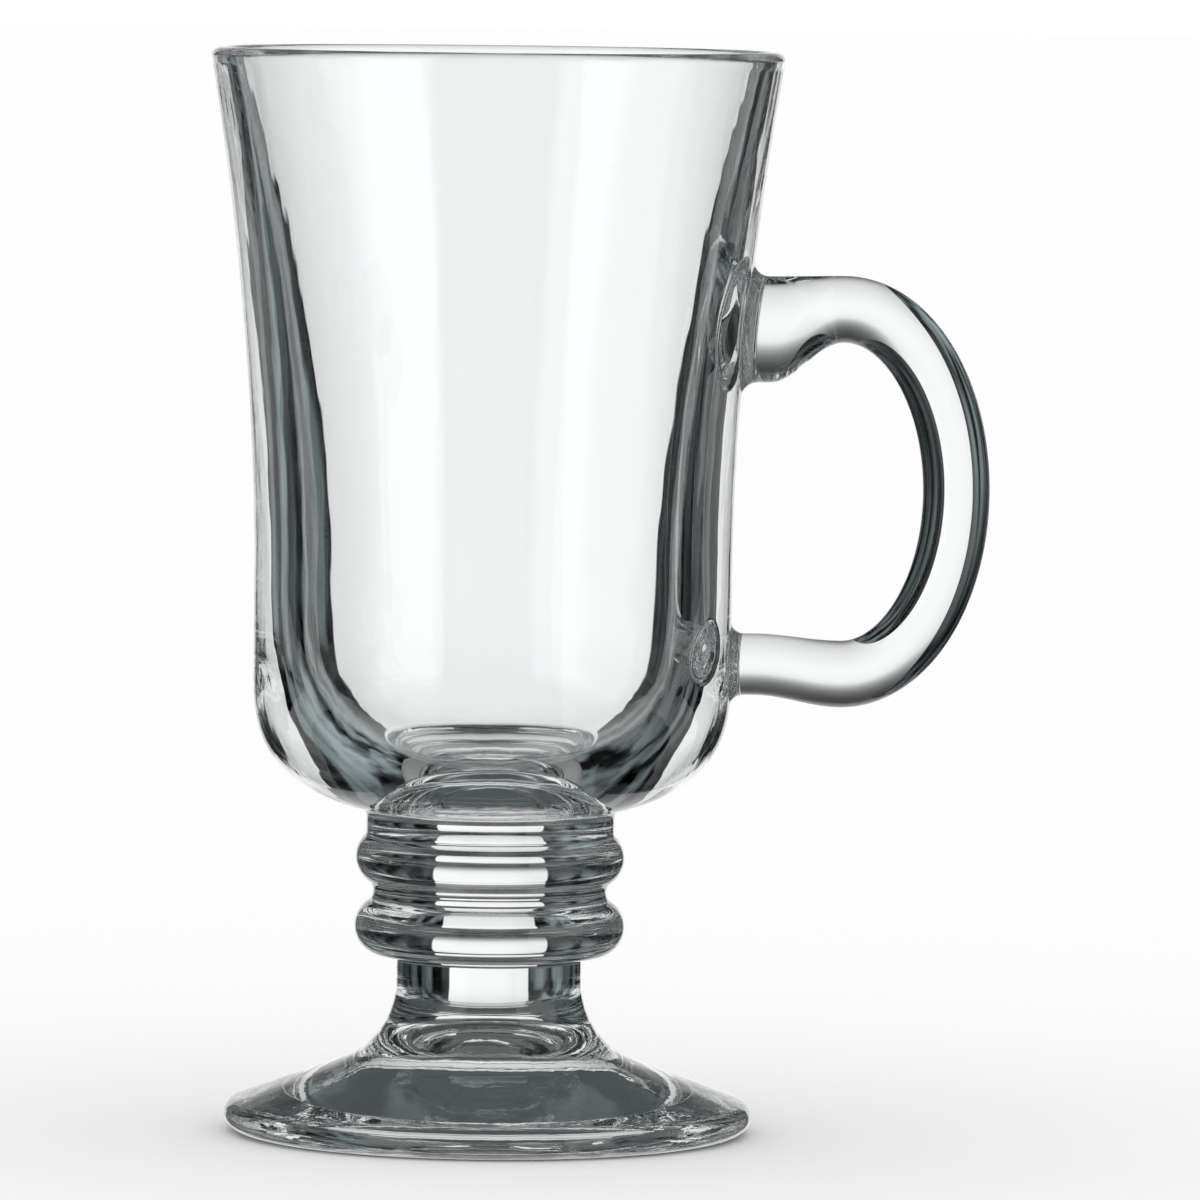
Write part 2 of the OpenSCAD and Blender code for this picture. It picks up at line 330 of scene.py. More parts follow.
def glass(name, *ripples):
    """Clear glass with layers of ripples on its surface."""
    material, tree, out = new_material(name)
    body = node_of(tree, "ShaderNodeBsdfPrincipled", {
        "Base Color": GLASS_TINT, "Roughness": 0.0, "IOR": GLASS_IOR, "Transmission Weight": 1.0,
        "Normal": rippled(tree, ripples)})
    tree.links.new(body.outputs["BSDF"], out.inputs["Surface"])
    print(f"{name}: ripple layers {len(ripples)}, refraction {GLASS_IOR}")
    return material


# %% The glass of each part
BOWL_GLASS = glass(
    "bowl_glass",
    {"waves": (45, 45, 18), "detail": 1.0, "depth": 0.22},
    {"waves": (190, 190, 40), "detail": 2.0, "depth": 0.04})
RING_GLASS = glass(
    "ring_glass",
    {"waves": (60, 60, 90), "detail": 1.5, "depth": 0.12})
FOOT_GLASS = glass(
    "foot_glass",
    {"waves": (70, 70, 70), "detail": 2.0, "depth": 0.25},
    {"waves": (260, 260, 260), "detail": 2.0, "depth": 0.04, "distortion": 0.6})
HANDLE_GLASS = glass(
    "handle_glass",
    {"waves": (60, 120, 60), "detail": 1.5, "depth": 0.08})


def clear_joint():
    """The material of the hidden faces where one piece runs into the next."""
    material, tree, out = new_material("hot_joint")
    through = node_of(tree, "ShaderNodeBsdfTransparent", {"Color": (1, 1, 1, 1)})
    tree.links.new(through.outputs["BSDF"], out.inputs["Surface"])
    return material


HOT_JOINT = clear_joint()
print("materials:", [m.name for m in bpy.data.materials])

# %% [markdown]
# ## A lathe of Geometry Nodes
# A pressed glass is round because its mould was turned. The same rule makes the mesh: each point of the
# outline becomes a ring about the axis. The tree starts from a flat grid with one row for each point of
# the outline and one column for each step round the axis, and moves every grid point to its place.
# Merging the doubles closes the seam and the poles. A Spin in bmesh would do as well, but a tree keeps
# the number of steps open as an input.


# %% Tree helpers
def math_node(tree, operation, first, second=None):
    """The result of one calculation on numbers or links."""
    inputs = {0: first} if second is None else {0: first, 1: second}
    return node_of(tree, "ShaderNodeMath", inputs, operation=operation).outputs[0]


def product(tree, first, *others):
    """Numbers or links multiplied together."""
    for other in others:
        first = math_node(tree, "MULTIPLY", first, other)
    return first


def new_tree(name, inputs):
    """A geometry tree with named inputs, its input node and its output node."""
    tree = bpy.data.node_groups.new(name, "GeometryNodeTree")
    tree.interface.new_socket("Geometry", in_out="INPUT", socket_type="NodeSocketGeometry")
    for label, kind in inputs.items():
        tree.interface.new_socket(label, in_out="INPUT", socket_type=kind)
    tree.interface.new_socket("Geometry", in_out="OUTPUT", socket_type="NodeSocketGeometry")
    return tree, node_of(tree, "NodeGroupInput"), node_of(tree, "NodeGroupOutput")


def sampled(tree, geometry, value, row, kind):
    """The value that the outline's point in that row holds."""
    return node_of(tree, "GeometryNodeSampleIndex", {"Geometry": geometry, "Value": value, "Index": row},
                   data_type=kind, domain="POINT", clamp=True).outputs["Value"]


def named(tree, name, kind="FLOAT"):
    """A named attribute of the outline's points."""
    node = node_of(tree, "GeometryNodeInputNamedAttribute", {"Name": name}, data_type=kind)
    return node.outputs["Attribute"]


# %% The grid of rings
RING_INPUTS = {"Steps around": "NodeSocketInt", "Weld": "NodeSocketFloat",
               "Glass": "NodeSocketMaterial", "Joint": "NodeSocketMaterial"}
HALF_INDEX = 0.5


def row_and_column(tree, index, columns):
    """Row and column of an index in a grid. The half keeps rounding from slipping into the row before."""
    row = math_node(tree, "DIVIDE", math_node(tree, "ADD", index, HALF_INDEX), columns)
    row = math_node(tree, "FLOOR", row)
    return row, math_node(tree, "SUBTRACT", index, product(tree, row, columns))


def ring_grid(tree, given, steps):
    """A grid with a row for each point of the outline, and each point's row and turn round the axis."""
    outline = given.outputs["Geometry"]
    count = node_of(tree, "GeometryNodeAttributeDomainSize", {"Geometry": outline})
    columns = math_node(tree, "ADD", steps, 1)
    grid = node_of(tree, "GeometryNodeMeshGrid", {
        "Vertices X": count.outputs["Point Count"], "Vertices Y": columns})
    index = node_of(tree, "GeometryNodeInputIndex").outputs["Index"]
    face_row, _ = row_and_column(tree, index, steps)
    flags = sampled(tree, outline, named(tree, "joint", "BOOLEAN"), face_row, "BOOLEAN")
    marked = node_of(tree, "GeometryNodeStoreNamedAttribute", {
        "Geometry": grid.outputs["Mesh"], "Name": "joint", "Value": flags},
        data_type="BOOLEAN", domain="FACE")
    row, column = row_and_column(tree, index, columns)
    turn = math_node(tree, "DIVIDE", product(tree, column, math.tau), steps)
    return marked.outputs["Geometry"], row, turn


def finished(tree, given, out, grid, spot):
    """Ends a tree: moves the grid's points, welds the doubles, shades smooth and sets both materials."""
    placed = node_of(tree, "GeometryNodeSetPosition", {"Geometry": grid, "Position": spot})
    weld = node_of(tree, "GeometryNodeMergeByDistance", {
        "Geometry": placed.outputs["Geometry"], "Distance": given.outputs["Weld"]})
    smooth = node_of(tree, "GeometryNodeSetShadeSmooth", {"Geometry": weld.outputs["Geometry"]})
    real = node_of(tree, "GeometryNodeRealizeInstances", {"Geometry": smooth.outputs["Geometry"]})
    outside = node_of(tree, "GeometryNodeSetMaterial", {
        "Geometry": real.outputs["Geometry"], "Material": given.outputs["Glass"]})
    hidden = node_of(tree, "GeometryNodeSetMaterial", {
        "Geometry": outside.outputs["Geometry"], "Selection": named(tree, "joint", "BOOLEAN"),
        "Material": given.outputs["Joint"]})
    tree.links.new(hidden.outputs["Geometry"], out.inputs["Geometry"])
    print(f"{tree.name}: {len(tree.nodes)} nodes")


# %% The lathe tree
def lathe_tree():
    """The tree that turns an outline, drawn in X and Z, about the Z axis."""
    tree, given, out = new_tree("lathe", RING_INPUTS)
    grid, row, turn = ring_grid(tree, given, given.outputs["Steps around"])
    place = node_of(tree, "GeometryNodeInputPosition").outputs["Position"]
    point = sampled(tree, given.outputs["Geometry"], place, row, "FLOAT_VECTOR")
    parts = node_of(tree, "ShaderNodeSeparateXYZ", {"Vector": point})
    spot = node_of(tree, "ShaderNodeCombineXYZ", {
        "X": product(tree, parts.outputs["X"], math_node(tree, "COSINE", turn)),
        "Y": product(tree, parts.outputs["X"], math_node(tree, "SINE", turn)),
        "Z": parts.outputs["Z"]})
    finished(tree, given, out, grid, spot.outputs["Vector"])
    return tree


LATHE = lathe_tree()
print("lathe inputs:", [s.name for s in LATHE.interface.items_tree if s.in_out == "INPUT"])

# %% [markdown]
# ## From a tree to a finished piece
# A modifier finds its inputs by socket identifier, so a small helper looks each one up by name before
# the object is first evaluated. The result is then baked into a plain mesh and the modifier removed.
# The rim of every hidden joint is marked sharp, so that the outside keeps its own shading there.

# %% Baking a tree
AROUND = 240
WELD = 1e-7


def placed_piece(name, mesh):
    """A new object at the origin that holds the mesh."""
    piece = bpy.data.objects.new(name, mesh)
    bpy.context.scene.collection.objects.link(piece)
    return piece


def outline_object(name, points, joints, **numbers):
    """A mesh of outline points in metres. joints says for each point if the band after it is hidden."""
    mesh = bpy.data.meshes.new(name)
    mesh.from_pydata([(x * MM, 0, z * MM) for x, z in points], [], [])
    mesh.attributes.new("joint", "BOOLEAN", "POINT").data.foreach_set("value", joints)
    for label, values in numbers.items():
        mesh.attributes.new(label, "FLOAT", "POINT").data.foreach_set("value", values)
    return placed_piece(name, mesh)


def baked(outline, tree, name, glass_material, steps):
    """The plain object that a tree makes of an outline."""
    modifier = outline.modifiers.new("tree", "NODES")
    modifier.node_group = tree
    sockets = {s.name: s.identifier for s in tree.interface.items_tree if s.in_out == "INPUT"}
    modifier[sockets["Steps around"]] = steps
    modifier[sockets["Weld"]] = WELD
    modifier[sockets["Glass"]] = glass_material
    modifier[sockets["Joint"]] = HOT_JOINT
    evaluated = outline.evaluated_get(bpy.context.evaluated_depsgraph_get())
    mesh = bpy.data.meshes.new_from_object(evaluated)
    mesh.name = name
    bpy.data.objects.remove(outline)
    return placed_piece(name, mesh)


# %% Closing a piece
def slot_of(mesh, material):
    """Number of a mesh's material slot that holds the material."""
    return [m.name if m else "" for m in mesh.materials].index(material.name)


def closed_up(piece):
    """Points all faces outwards, marks the rims of hidden joints sharp and counts what isn't closed."""
    shape = bmesh.new()
    shape.from_mesh(piece.data)
    bmesh.ops.recalc_face_normals(shape, faces=shape.faces)
    if shape.calc_volume(signed=True) < 0:
        bmesh.ops.reverse_faces(shape, faces=shape.faces)
    hidden = slot_of(piece.data, HOT_JOINT)
    for edge in shape.edges:
        kinds = {face.material_index == hidden for face in edge.link_faces}
        edge.smooth = len(kinds) == 1
    open_edges = sum(not edge.is_manifold for edge in shape.edges)
    volume = shape.calc_volume() / MM ** 3
    triangles = sum(len(face.verts) - 2 for face in shape.faces)
    shape.to_mesh(piece.data)
    shape.free()
    piece.data.shade_smooth()
    print(f"{piece.name}: {triangles} triangles, {volume:.0f} mm3, {open_edges} open edges")
    return piece


def into_frame(piece, node):
    """The piece stands for a CAD node, which is hidden, and hangs under the root body."""
    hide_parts(node)
    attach(piece, "root")


# %% Turning a piece
SAME_POINT = 1e-5


def turned(name, runs, glass_material):
    """A turned piece from its outline's runs, each named glass or joint. Shared points are kept once."""
    points, joints = [], []
    for kind, run in runs:
        for point in run:
            if points and math.dist(point, points[-1]) < SAME_POINT:
                joints[-1] = kind == "joint"
                continue
            points.append(point)
            joints.append(kind == "joint")
    outline = outline_object(name + "_outline", points, joints)
    return closed_up(baked(outline, LATHE, name, glass_material, AROUND))


# %% [markdown]
# ## Foot
# The foot is a thick disc with a domed underside, which lets the mug stand on a flat ring. Its top
# slopes up and sweeps into the stem in one hollow curve. The outline starts at the middle of the dome
# and ends at the middle of the seam with the stem, whose flat disc is the hidden joint.

# %% The foot
dome = [(dome_r * t, dome_h * (1 - t * t)) for t in stations(steps=60)]
tuck = [(foot_r - foot_edge_tuck * (1 - math.sin(a)), foot_edge_r * (1 - math.cos(a)))
        for a in (math.pi / 2 * t for t in stations(steps=20))]
slope_top = on_circle(foot_sweep, foot_sweep_r, 270 - foot_slope)
foot = turned("foot_glass_piece", [
    ("glass", dome),
    ("glass", straight((dome_r, 0), tuck[0], steps=4)),
    ("glass", tuck),
    ("glass", arc(foot_edge, foot_edge_r, 0, 90 - foot_slope, steps=16)),
    ("glass", straight(foot_shoulder, slope_top, steps=24)),
    ("glass", arc(foot_sweep, foot_sweep_r, 270 - foot_slope, 180 + foot_seam_angle, steps=40)),
    ("joint", [foot_seam, (0, foot_seam[1])]),
], FOOT_GLASS)
into_frame(foot, "foot")

# %% [markdown]
# ## Stem and rings
# The stem is a solid waist, and the two rings above it were turned into the mould as round beads with a
# hollow between them. The seams lie where a glassmaker would name one part and then the next: at the
# fillet under the lower ring, in the hollow, and at the neck.

# %% The stem
stem = turned("stem_glass_piece", [
    ("joint", [(0, foot_seam[1]), foot_seam]),
    ("glass", arc(foot_sweep, foot_sweep_r, 180 + foot_seam_angle, 180, steps=24)),
    ("glass", straight((stem_r, sweep_top_z), (stem_r, stem_top_z), steps=8)),
    ("joint", [(stem_r, stem_top_z), (0, stem_top_z)]),
], RING_GLASS)
into_frame(stem, "stem")

# %% Both rings
groove_seam = (groove[0] - ring_groove_r, groove[1])
lower_ring = turned("lower_ring_glass_piece", [
    ("joint", [(0, stem_top_z), (stem_r, stem_top_z)]),
    ("glass", arc(stem_fillet, stem_fillet_r, 180, heading(stem_fillet, lower_round), steps=12)),
    ("glass", arc(lower_round, ring_round_r, heading(lower_round, stem_fillet),
                  heading(lower_round, groove), steps=64)),
    ("glass", arc(groove, ring_groove_r, 360 + heading(groove, lower_round), 180, steps=20)),
    ("joint", [groove_seam, (0, groove[1])]),
], RING_GLASS)
into_frame(lower_ring, "lower_stem_ring")

upper_ring = turned("upper_ring_glass_piece", [
    ("joint", [(0, groove[1]), groove_seam]),
    ("glass", arc(groove, ring_groove_r, 180, heading(groove, upper_round), steps=20)),
    ("glass", arc(upper_round, ring_round_r, heading(upper_round, groove),
                  heading(upper_round, neck_fillet), steps=64)),
    ("glass", arc(neck_fillet, neck_fillet_r, 360 + heading(neck_fillet, upper_round), 180, steps=12)),
    ("joint", [(neck_r, bowl_z), (0, bowl_z)]),
], RING_GLASS)
into_frame(upper_ring, "upper_stem_ring")

# %% [markdown]
# ## Bowl
# The bowl is the main form. Its outside rounds out of the neck, stands straight at the belly and flares
# to the rim, and its inside follows with a wall that thins upwards. It is turned like the other pieces.
# The rows are laid so that both places where the handle is sealed on lie in a window with the same
# number of rows, because the next step cuts those windows out and fills them again.

# %% The bowl's outside
WINDOW_ROWS = 48
upper_window_reach = 12.4
lower_window_reaches = (8.8, 9.4)
upper_window = (upper_root_z - upper_window_reach, upper_root_z + upper_window_reach)
lower_window = (lower_root_z - lower_window_reaches[0], lower_root_z + lower_window_reaches[1])


def base_share(radius):
    """Share of the rounded base's depth where it has a radius."""
    return round_drop(radius / belly_r, base_drop_power, base_side_power)


def base_point(angle):
    """A point of the bowl's rounded base."""
    return (belly_r * math.cos(angle) ** (2 / base_side_power),
            belly_z - base_h * math.sin(angle) ** (2 / base_drop_power))


def base_angle(share):
    """The angle of the base's point at a share of its depth."""
    return math.asin(share ** (base_drop_power / 2))


def wall_run(low, high, steps):
    """Points up the bowl's outside in even steps of height."""
    return [(bowl_r(z), z) for z in evenly(low, high, steps)]


base_fillet = neck_h * base_fillet_share
neck_corner = (neck_r, belly_z - base_h * base_share(neck_r))
neck_top = (neck_r, neck_corner[1] - base_fillet)
base_start_share = base_share(neck_r + base_fillet)
base_start = (neck_r + base_fillet, belly_z - base_h * base_start_share)
last_share = (belly_z - lower_window[0]) / base_h
base_angles = evenly(base_angle(base_start_share), base_angle(last_share), steps=36)
outside = [
    *straight((neck_r, bowl_z), neck_top, steps=4),
    *corner_curve(neck_top, neck_corner, base_start, steps=14),
    *(base_point(angle) for angle in base_angles),
    *wall_run(*lower_window, WINDOW_ROWS),
    *wall_run(lower_window[1], upper_window[0], steps=36),
    *wall_run(*upper_window, WINDOW_ROWS),
    *wall_run(upper_window[1], rim_edge_z, steps=34),
]
print(f"{len(outside)} points, windows from {lower_window[0]:.1f} and {upper_window[0]:.1f} mm up")


# %% The bowl's inside
def floor_point(share):
    """A point of the bowl's inside, from the top of the belly down to the middle of the floor."""
    turn = math.pi / 2 * share ** 2
    drop = math.sin(turn) ** (2 / floor_drop_power)
    spread = max(0.0, math.cos(turn)) ** (2 / floor_side_power)
    return (cavity_r - floor_taper * drop ** 2) * spread, flare_z - (flare_z - floor_z) * drop


rim_top = [(rim_r + rim_wall / 2 * (across - 1), rim_edge_z + rim_round_h * up)
           for across, up in arc((0, 0), 1, 0, 180, steps=24)]
inside = [(bowl_r(z) - wall(z), z) for z in evenly(rim_edge_z, flare_z, steps=72)]
bowl_floor = [floor_point(share) for share in evenly(0, 1, steps=70)]
bowl = turned("bowl_glass_piece", [
    ("joint", [(0, bowl_z), (neck_r, bowl_z)]),
    ("glass", outside),
    ("glass", rim_top),
    ("glass", inside),
    ("glass", bowl_floor),
], BOWL_GLASS)

# %% [markdown]
# ## Where the handle is sealed on
# A hot handle melts into the wall, so under each pad the wall has no surface any more. The faces of one
# window are taken out of the lathe's grid, and its edge is joined by rings of faces to the oval line on
# the wall where the pad's fillet ends. Inside that line the faces are a hidden joint. Cutting with a
# boolean would also work, but it leaves long thin triangles, and glass shows them as scratches.

# %% Both roots of the handle
WINDOW_COLUMNS = 24
PAD_SIDES = 2 * (WINDOW_ROWS + WINDOW_COLUMNS)
upper_root = {"z": upper_root_z, "h": upper_root_h, "w": upper_root_w,
              "fillet": upper_pad_fillet_r, "face_x": upper_face_x, "window": upper_window}
lower_root = {"z": lower_root_z, "h": lower_root_h, "w": lower_root_w,
              "fillet": lower_pad_fillet_r, "face_x": lower_face_x, "window": lower_window}


def on_wall(y, z):
    """The point of the bowl's outside that lies beside the axis plane by y and at height z."""
    return math.sqrt(bowl_r(z) ** 2 - y * y), y, z


def oval(root, grow, share=1.0):
    """Places beside the axis plane and heights of an oval line round a root, drawn in to a share."""
    turns = [math.tau * i / PAD_SIDES for i in range(PAD_SIDES)]
    return [((root["w"] / 2 + grow) * share * math.cos(a),
             root["z"] + (root["h"] / 2 + grow) * share * math.sin(a)) for a in turns]


print(f"{PAD_SIDES} points round a root, wall at x {on_wall(0, upper_root_z)[0]:.2f} mm at the upper one")


# %% A window in the wall
def window_edge(root):
    """Places and heights of a window's edge points, in the order of the oval's."""
    low, high = root["window"]
    heights = evenly(low, high, WINDOW_ROWS)
    turns = [math.tau / AROUND * (WINDOW_COLUMNS / 2 - i) for i in range(WINDOW_COLUMNS + 1)]
    side = [(turns[0], z) for z in heights[WINDOW_ROWS // 2:]]
    side += [(a, high) for a in turns[1:]]
    side += [(turns[-1], z) for z in reversed(heights[:-1])]
    side += [(a, low) for a in reversed(turns[:-1])]
    side += [(turns[0], z) for z in heights[1:WINDOW_ROWS // 2]]
    return [(bowl_r(z) * math.sin(a), z) for a, z in side]


def in_window(point, root):
    """True for a place in millimetres that lies on the bowl's outside, in a root's window."""
    half_turn = math.pi * WINDOW_COLUMNS / AROUND
    low, high = root["window"]
    if point.x < 0 or not low < point.z < high or abs(math.atan2(point.y, point.x)) > half_turn:
        return False
    return math.hypot(point.x, point.y) > bowl_r(point.z) - rim_wall / 2


def on_wall_verts(shape, places):
    """New points of the mesh at places on the bowl's outside."""
    return [shape.verts.new([c * MM for c in on_wall(y, z)]) for y, z in places]


def edge_verts(shape, places):
    """The points of the mesh's open edge that lie at these places on the bowl's outside."""
    rim = [vert for vert in shape.verts if vert.is_boundary]
    tree = KDTree(len(rim))
    for i, vert in enumerate(rim):
        tree.insert(vert.co, i)
    tree.balance()
    return [rim[tree.find([c * MM for c in on_wall(y, z)])[1]] for y, z in places]


print("points round a window:", len(window_edge(upper_root)))


# %% Faces between rings
def bridged(shape, rings, slot):
    """Faces between rings of equally many points."""
    for near, far in zip(rings, rings[1:]):
        for i in range(len(near)):
            j = (i + 1) % len(near)
            shape.faces.new((near[i], near[j], far[j], far[i])).material_index = slot


def closed_disc(shape, ring, middle, slot):
    """Triangles from a ring to its middle point."""
    for i in range(len(ring)):
        shape.faces.new((ring[i], ring[(i + 1) % len(ring)], middle)).material_index = slot


# %% Windows in the bowl's wall
BLEND_RINGS = 10
SEAT_RINGS = 8


def seat(shape, root, first, slot):
    """The hidden seat of a root on the wall, from the ring given in to its middle."""
    rings = [first]
    for i in range(1, SEAT_RINGS):
        rings.append(on_wall_verts(shape, oval(root, root["fillet"], 1 - i / SEAT_RINGS)))
    middle = on_wall_verts(shape, [(0, root["z"])])[0]
    bridged(shape, rings, slot)
    closed_disc(shape, rings[-1], middle, slot)


def opened_window(shape, root, glass_slot, hidden_slot):
    """Takes a window out of the bowl's wall and fills it again round the hidden seat."""
    cut = [face for face in shape.faces if in_window(face.calc_center_median() / MM, root)]
    bmesh.ops.delete(shape, geom=cut, context="FACES")
    edge = window_edge(root)
    border = oval(root, root["fillet"])
    rings = [edge_verts(shape, edge)]
    for share in evenly(0, 1, BLEND_RINGS)[1:]:
        rings.append(on_wall_verts(shape, [
            (a[0] + (b[0] - a[0]) * share, a[1] + (b[1] - a[1]) * share) for a, b in zip(edge, border)]))
    bridged(shape, rings, glass_slot)
    seat(shape, root, rings[-1], hidden_slot)
    return len(cut)


shape = bmesh.new()
shape.from_mesh(bowl.data)
slots = slot_of(bowl.data, BOWL_GLASS), slot_of(bowl.data, HOT_JOINT)
cut_counts = [opened_window(shape, root, *slots) for root in (upper_root, lower_root)]
shape.to_mesh(bowl.data)
shape.free()
print("faces cut from the two windows:", cut_counts)
closed_up(bowl)
into_frame(bowl, "bowl")

# %% [markdown]
# ## Seal pads
# Each pad is the glass that spread when the handle's hot end was pressed to the wall. It leaves the
# wall in a hollow fillet, narrows to the handle's section and ends in a flat face where the handle
# begins. Both the seat on the wall and that face are hidden joints. A pad is a stack of ovals that
# follow the wall at one end and a plane at the other, so it is made ring by ring in bmesh.

# %% The two pads
FILLET_RINGS = 20
NECK_RINGS = 4
GLASS_SLOT, JOINT_SLOT = 0, 1


def mesh_of(shape, name, *materials):
    """A new mesh with the faces of a bmesh, which is freed, and these materials."""
    mesh = bpy.data.meshes.new(name)
    for material in materials:
        mesh.materials.append(material)
    shape.to_mesh(mesh)
    shape.free()
    return mesh


def pad_ring(root, grow, height):
    """Points of an oval round a root, so far out from the bowl's wall."""
    return [(on_wall(y, z)[0] + height, y, z) for y, z in oval(root, grow)]


def pad_neck_ring(root, share):
    """Points of the oval that lies a share of the way from the fillet to the handle's face."""
    return [(x + (root["face_x"] - x) * share, y, z) for x, y, z in pad_ring(root, 0, root["fillet"])]


def seal_pad(name, root):
    """A pad from the seat on the wall to the face of the handle."""
    shape = bmesh.new()
    fillet = root["fillet"]
    places = [pad_ring(root, fillet * (1 - math.cos(a)), fillet * (1 - math.sin(a)))
              for a in (math.pi / 2 * (1 - t) for t in stations(FILLET_RINGS))]
    places += [pad_neck_ring(root, t) for t in stations(NECK_RINGS)[1:]]
    rings = [[shape.verts.new([c * MM for c in point]) for point in ring] for ring in places]
    bridged(shape, rings, GLASS_SLOT)
    seat(shape, root, rings[0], JOINT_SLOT)
    face_middle = shape.verts.new((root["face_x"] * MM, 0, root["z"] * MM))
    closed_disc(shape, rings[-1], face_middle, JOINT_SLOT)
    return closed_up(placed_piece(name, mesh_of(shape, name, HANDLE_GLASS, HOT_JOINT)))


into_frame(seal_pad("upper_pad_glass_piece", upper_root), "upper_handle_pad")
into_frame(seal_pad("lower_pad_glass_piece", lower_root), "lower_handle_pad")

# %% [markdown]
# ## Handle
# The handle is one rod, bent like an ear and swollen where it meets the pads. Its middle line is two
# eased arms and half an ellipse, and its section is an oval that changes along the way. The tree is the
# lathe's twin: each point of the path holds a heading and two half sizes, and becomes a ring across the
# path. Curve to Mesh gives only round or evenly scaled sections, and this rod is neither.


# %% The sweep tree
def sweep_tree():
    """The tree that sets an oval ring across each point of a path in the XZ plane."""
    tree, given, out = new_tree("rod_sweep", RING_INPUTS)
    grid, row, turn = ring_grid(tree, given, given.outputs["Steps around"])
    path = given.outputs["Geometry"]
    place = node_of(tree, "GeometryNodeInputPosition").outputs["Position"]
    centre = sampled(tree, path, place, row, "FLOAT_VECTOR")
    way, half_h, half_w = (sampled(tree, path, named(tree, name), row, "FLOAT")
                           for name in ("heading", "half_h", "half_w"))
    rise = product(tree, half_h, math_node(tree, "SINE", turn))
    offset = node_of(tree, "ShaderNodeCombineXYZ", {
        "X": product(tree, rise, math_node(tree, "SINE", way), -1),
        "Y": product(tree, half_w, math_node(tree, "COSINE", turn)),
        "Z": product(tree, rise, math_node(tree, "COSINE", way))})
    spot = node_of(tree, "ShaderNodeVectorMath", {0: centre, 1: offset.outputs["Vector"]}, operation="ADD")
    finished(tree, given, out, grid, spot.outputs["Vector"])
    return tree


SWEEP = sweep_tree()

# %% The handle's path
ARM_STEPS = 56
BEND_STEPS = 130


def ease(share):
    """A smooth step from 0 to 1."""
    return (1 - math.cos(math.pi * share)) / 2


def arm_point(root, arm_z, share):
    """A point of an arm: its place, upright heading and half sizes, from the pad's face to the bend."""
    return {"x": root["face_x"] + (bend_x - root["face_x"]) * share,
            "z": root["z"] + (arm_z - root["z"]) * ease(share),
            "heading": 0.0,
            "half_h": (root["h"] + (rod_h - root["h"]) * ease(share)) / 2,
            "half_w": (root["w"] + (rod_w - root["w"]) * ease(share)) / 2}


def bend_point(share):
    """A point of the bend, half an ellipse from the upper arm round to the lower one."""
    a = math.pi * (0.5 - share)
    return {"x": bend_x + bend_depth * math.cos(a),
            "z": lower_arm_height + arm_pitch / 2 * (1 + math.sin(a)),
            "heading": math.atan2(-arm_pitch / 2 * math.cos(a), bend_depth * math.sin(a)),
            "half_h": rod_h / 2, "half_w": rod_w / 2}


def ended(point):
    """The same place with no section, which closes the rod's end."""
    return {**point, "half_h": 0, "half_w": 0}


upper_arm = [arm_point(upper_root, lower_arm_height + arm_pitch, t) for t in stations(ARM_STEPS)]
lower_arm = [arm_point(lower_root, lower_arm_height, t) for t in reversed(stations(ARM_STEPS))]
for point in lower_arm:
    point["heading"] -= math.pi
bend = [bend_point(share) for share in evenly(0, 1, BEND_STEPS)[1:-1]]
path = [ended(upper_arm[0]), *upper_arm, *bend, *lower_arm, ended(lower_arm[-1])]
print("points along the handle:", len(path))

# %% The handle
hidden_bands = [i in (0, len(path) - 2) for i in range(len(path))]
rod_path = outline_object(
    "handle_path", [(p["x"], p["z"]) for p in path], hidden_bands,
    heading=[p["heading"] for p in path],
    half_h=[p["half_h"] * MM for p in path],
    half_w=[p["half_w"] * MM for p in path])
handle = closed_up(baked(rod_path, SWEEP, "handle_glass_piece", HANDLE_GLASS, PAD_SIDES))
into_frame(handle, "handle")

# %% [markdown]
# ## Studio
# A mug is photographed in a bright field: a white panel straight behind it, dark cards all round, a
# lamp at each side in front and a weak light overhead. The panel shines through the middle of the
# glass. Each edge bends the dark cards into view, which draws the outline, and the lamps put the pale
# streaks on the bowl's sides. Panel, lamps and cards are one shell so far away that only a ray's
# direction counts: side, rise and front say where it meets the shell. Each list of levels pairs a side
# or a rise, from -1 to 1, with the level there. The shell is a stage object that only glass and gloss
# can see, and so is the dark mat under the foot. That mat is painted shade: a grey card that stands
# in for the shade on the floor under the foot, which the glass shows as a dark hollow. In a
# product studio the glass turns in front of the camera and the cards stay, so the shell copies the
# camera's turn and the mug looks right from every side.

# %% The camera
CAMERA_AWAY = 1425
CAMERA_HEIGHT = 166.3
AIM = (14.41, 0, 72.02)
LENS = 318.45
SENSOR_W = 36.0
ROLL = 0.66
NEAREST, FARTHEST = 0.05, 100

camera_data = bpy.data.cameras.new("camera")
camera_data.lens = LENS
camera_data.sensor_width = SENSOR_W
camera_data.clip_start = NEAREST
camera_data.clip_end = FARTHEST
camera = bpy.data.objects.new("camera", camera_data)
bpy.context.scene.collection.objects.link(camera)
aim = Vector(AIM) * MM
camera.location = Vector((AIM[0], -CAMERA_AWAY, CAMERA_HEIGHT)) * MM
look = (aim - camera.location).to_track_quat("-Z", "Y")
camera.rotation_mode = "QUATERNION"
camera.rotation_quaternion = look @ Matrix.Rotation(math.radians(ROLL), 3, "Z").to_quaternion()
bpy.context.scene.camera = camera
bpy.context.view_layer.update()
print("camera at", [round(c, 3) for c in camera.location])

